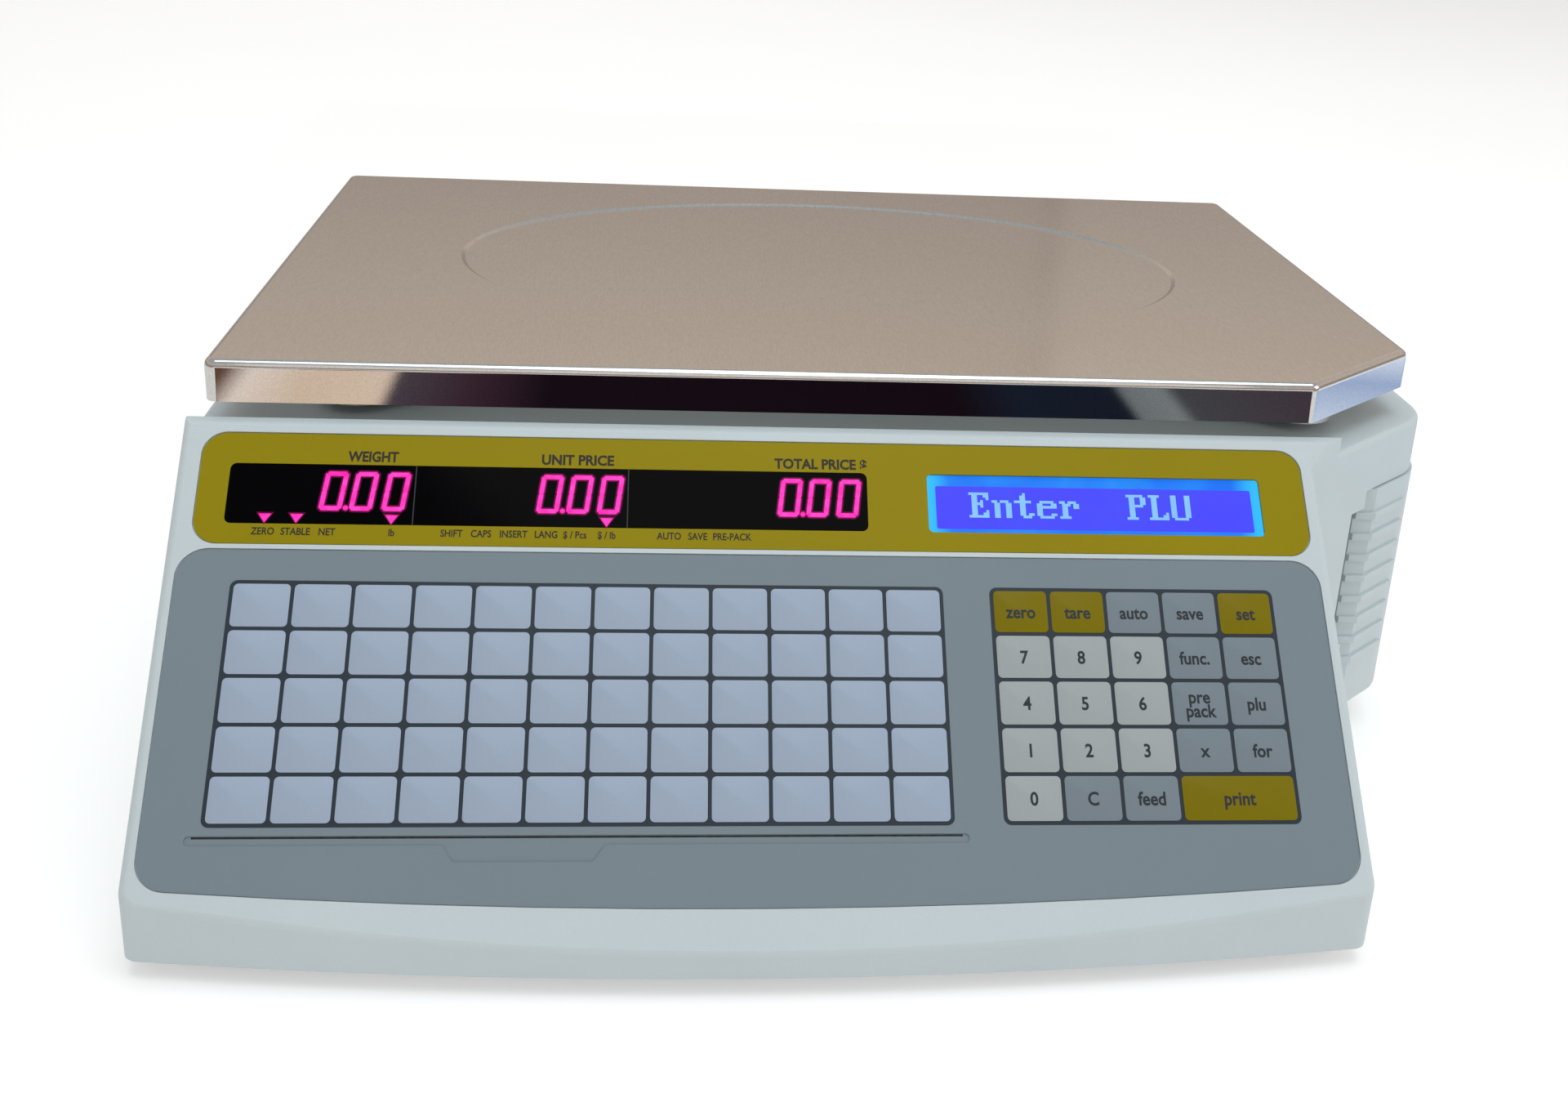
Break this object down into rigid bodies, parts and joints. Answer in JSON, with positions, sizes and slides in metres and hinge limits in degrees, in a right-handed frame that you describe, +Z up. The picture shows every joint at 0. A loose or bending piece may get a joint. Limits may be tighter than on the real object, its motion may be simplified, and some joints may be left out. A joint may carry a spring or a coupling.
{
  "type": "label printing scale",
  "caption": "Counter scale with a sloped keypad console, flat weighing pan with a clipped corner, and a side bay that prints and peels labels.",
  "frame": {"origin": "centre of the footprint of the whole object, on the plane the feet stand on", "axes": "+Z up, +Y from the operator towards the back, +X to the operator's right"},
  "size_m": [0.4186, 0.3865, 0.1445],
  "materials": {
    "base": "matte moulded",
    "black_plastic": "matte",
    "board": "solder mask",
    "brass": "turned",
    "bumper_rubber": "matte",
    "card": "printed card",
    "cast_aluminium": "cast",
    "cell_aluminium": "machined",
    "circuit_film": "film with printed tracks",
    "component": "matte",
    "core_board": "cardboard",
    "foot_knob": "knurled knob with steel stud",
    "foot_rubber": "ribbed",
    "gear_nylon": "moulded nylon",
    "head_ceramic": "glazed ceramic",
    "housing": "fine satin moulded texture",
    "label_paper": "coated paper",
    "lcd": "backlit blue",
    "led_digit": "diffused segments",
    "level_acrylic": "clear green",
    "motor_steel": "black and bright steel can",
    "overlay_grey": "semi-gloss printed film",
    "overlay_olive": "semi-gloss printed film",
    "platen_rubber": "ground rubber",
    "port_shell": "tinned",
    "rocker_plastic": "gloss",
    "smoked_window": "smoked window",
    "stainless": "fine polished stainless",
    "zinc_steel": "zinc plated"
  },
  "bodies": {
    "housing": {"base_screws": "zinc_steel", "board_components": "black_plastic", "board_standoffs": "brass", "data_port": "port_shell", "display_overlay": "overlay_olive", "door_hinge_pin": "zinc_steel", "head_pivot_pin": "zinc_steel", "inlet_blades": "brass", "keypad_circuit": "circuit_film", "keypad_overlay": "overlay_grey", "label_web": "label_paper", "lcd_bezel": "black_plastic", "lcd_board": "board", "lcd_glass": "lcd", "led_board": "board", "led_digits": "led_digit", "led_window": "smoked_window", "load_cell": "cell_aluminium", "load_cell_bolts": "zinc_steel", "load_cell_spacer": "cell_aluminium", "lower_base": "base", "main_board": "board", "overload_stops": "zinc_steel", "peel_bar": "zinc_steel", "plu_card": "card", "power_inlet": "black_plastic", "printer_frame": "zinc_steel", "roll_spindle": "black_plastic", "spirit_level": "level_acrylic", "stepper_motor": "motor_steel", "supply_board": "board", "supply_components": "component", "switch_body": "black_plastic", "upper_housing": "housing"},
    "platform": {"spider_frame": "cast_aluminium", "spider_post": "cast_aluminium", "spider_post_bolts": "zinc_steel", "pan_bumpers": "bumper_rubber"},
    "pan": {"weighing_pan": "stainless"},
    "door": {"printer_door": "housing"},
    "label_roll": {"label_roll": "label_paper", "roll_core": "core_board"},
    "keeper": {"roll_keeper": "black_plastic"},
    "platen": {"platen_rubber": "platen_rubber", "platen_shaft": "zinc_steel", "platen_gear": "gear_nylon"},
    "idler": {"idler_gear": "gear_nylon"},
    "pinion": {"motor_pinion": "brass"},
    "head": {"head_bracket": "zinc_steel", "thermal_head": "head_ceramic"},
    "rocker": {"switch_rocker": "rocker_plastic"},
    "foot_front_left": {"foot_pad_front_left": "foot_rubber", "foot_stud_front_left": "foot_knob"},
    "foot_front_right": {"foot_pad_front_right": "foot_rubber", "foot_stud_front_right": "foot_knob"},
    "foot_rear_left": {"foot_pad_rear_left": "foot_rubber", "foot_stud_rear_left": "foot_knob"},
    "foot_rear_right": {"foot_pad_rear_right": "foot_rubber", "foot_stud_rear_right": "foot_knob"}
  },
  "joints": [
    {"name": "platform_deflection", "type": "slide", "parent": "housing", "child": "platform", "axis": [0, 0, -1], "range_m": [0, 0.0006], "stiffness_N_per_m": 300000, "springref_m": -0.00008, "deforming": ["load_cell"]},
    {"name": "pan_lift", "type": "slide", "parent": "platform", "child": "pan", "axis": [0, 0, 1], "range_m": [0, 0.06]},
    {"name": "door_swing", "type": "hinge", "parent": "housing", "child": "door", "pos_m": [0.2051, 0.12001, 0.05851], "axis": [0, 0, 1], "range_deg": [0, 105]},
    {"name": "label_roll_spin", "type": "hinge", "parent": "housing", "child": "label_roll", "pos_m": [0.14205, 0.04793, 0.069], "axis": [0, 0, 1], "continuous": true},
    {"name": "keeper_lift", "type": "slide", "parent": "housing", "child": "keeper", "axis": [0, 0, 1], "range_m": [0, 0.012]},
    {"name": "platen_spin", "type": "hinge", "parent": "housing", "child": "platen", "pos_m": [0.16808, -0.04284, 0.069], "axis": [0, 0, 1], "continuous": true},
    {"name": "idler_spin", "type": "hinge", "parent": "housing", "child": "idler", "pos_m": [0.16467, -0.02425, 0.03], "axis": [0, 0, 1], "continuous": true},
    {"name": "pinion_spin", "type": "hinge", "parent": "housing", "child": "pinion", "pos_m": [0.15515, -0.01306, 0.03], "axis": [0, 0, 1], "continuous": true},
    {"name": "head_release", "type": "hinge", "parent": "housing", "child": "head", "pos_m": [0.13718, -0.035, 0.069], "axis": [0, 0, -1], "range_deg": [0, 7], "stiffness_Nm_per_rad": 0.8, "springref_deg": -11.46},
    {"name": "rocker_tilt", "type": "hinge", "parent": "housing", "child": "rocker", "pos_m": [-0.1033, 0.18901, 0.034], "axis": [1, 0, 0], "range_deg": [-20, 0]},
    {"name": "foot_front_left_screw", "type": "slide", "parent": "housing", "child": "foot_front_left", "axis": [0, 0, -1], "range_m": [0, 0.008]},
    {"name": "foot_front_right_screw", "type": "slide", "parent": "housing", "child": "foot_front_right", "axis": [0, 0, -1], "range_m": [0, 0.008]},
    {"name": "foot_rear_left_screw", "type": "slide", "parent": "housing", "child": "foot_rear_left", "axis": [0, 0, -1], "range_m": [0, 0.008]},
    {"name": "foot_rear_right_screw", "type": "slide", "parent": "housing", "child": "foot_rear_right", "axis": [0, 0, -1], "range_m": [0, 0.008]}
  ],
  "couplings": [
    {"joint": "idler_spin", "follows": "platen_spin", "ratio": -1.25},
    {"joint": "pinion_spin", "follows": "platen_spin", "ratio": 1.6667}
  ]
}
